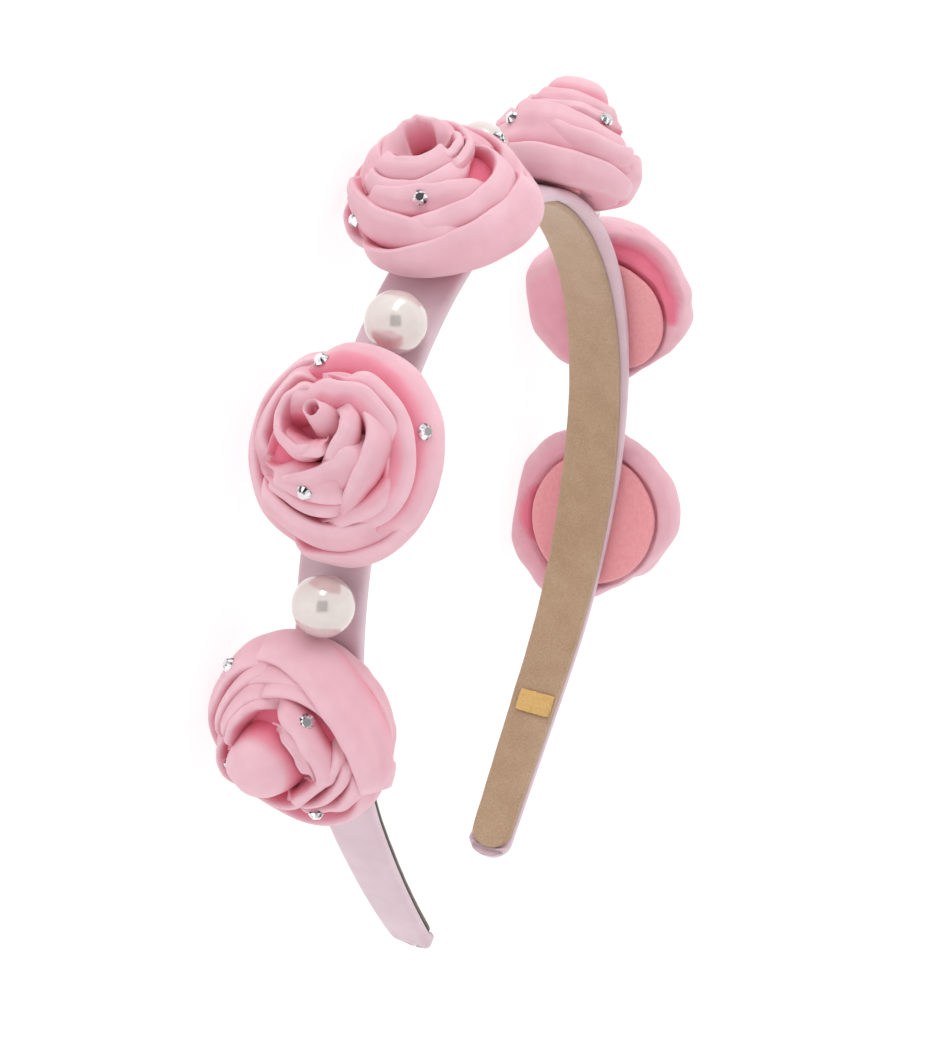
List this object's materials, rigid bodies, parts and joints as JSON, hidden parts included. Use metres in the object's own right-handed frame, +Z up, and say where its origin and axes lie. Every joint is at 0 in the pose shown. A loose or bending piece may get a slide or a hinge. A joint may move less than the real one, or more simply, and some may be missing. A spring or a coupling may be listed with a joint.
{
  "type": "flower headband",
  "caption": "Arched satin-covered headband with wound satin roses, round pearls and small cut stones along its outer face, and a suede lining inside.",
  "frame": {"origin": "on the table, under the middle of the headband as it lies on its side", "axes": "+Z up from the table across the band's width, +Y from the tips to the crown, +X from the left leg to the right leg"},
  "size_m": [0.1502, 0.1624, 0.0362],
  "materials": {
    "band_satin": "smooth pale lilac-pink satin",
    "rose_satin": "soft pink satin, wound and folded",
    "suede": "beige suede ribbon with a fine nap",
    "felt": "salmon felt",
    "gold": "thin gold foil tab, bare",
    "pearl": "pearl lustre",
    "crystal": "clear cut stone with a silvered flat back"
  },
  "bodies": {
    "root": {"band": "band_satin", "lining": "suede", "gold_tab": "gold", "rose_a": "rose_satin", "backing_a": "felt", "stone_a1": "crystal", "stone_a2": "crystal", "stone_a3": "crystal", "stone_a4": "crystal", "rose_b": "rose_satin", "backing_b": "felt", "stone_b1": "crystal", "stone_b2": "crystal", "stone_b3": "crystal", "rose_c": "rose_satin", "backing_c": "felt", "stone_c1": "crystal", "stone_c2": "crystal", "stone_c3": "crystal", "stone_c4": "crystal", "rose_d": "rose_satin", "backing_d": "felt", "stone_d1": "crystal", "stone_d2": "crystal", "stone_d3": "crystal", "stone_d4": "crystal", "rose_e": "rose_satin", "backing_e": "felt", "stone_e1": "crystal", "stone_e2": "crystal", "stone_e3": "crystal", "stone_e4": "crystal", "rose_f": "rose_satin", "backing_f": "felt", "stone_f1": "crystal", "stone_f2": "crystal", "stone_f3": "crystal", "stone_f4": "crystal", "pearl_crown": "pearl", "pearl_left_high": "pearl", "pearl_left_low": "pearl", "pearl_right_high": "pearl", "pearl_right_low": "pearl"}
  },
  "joints": []
}
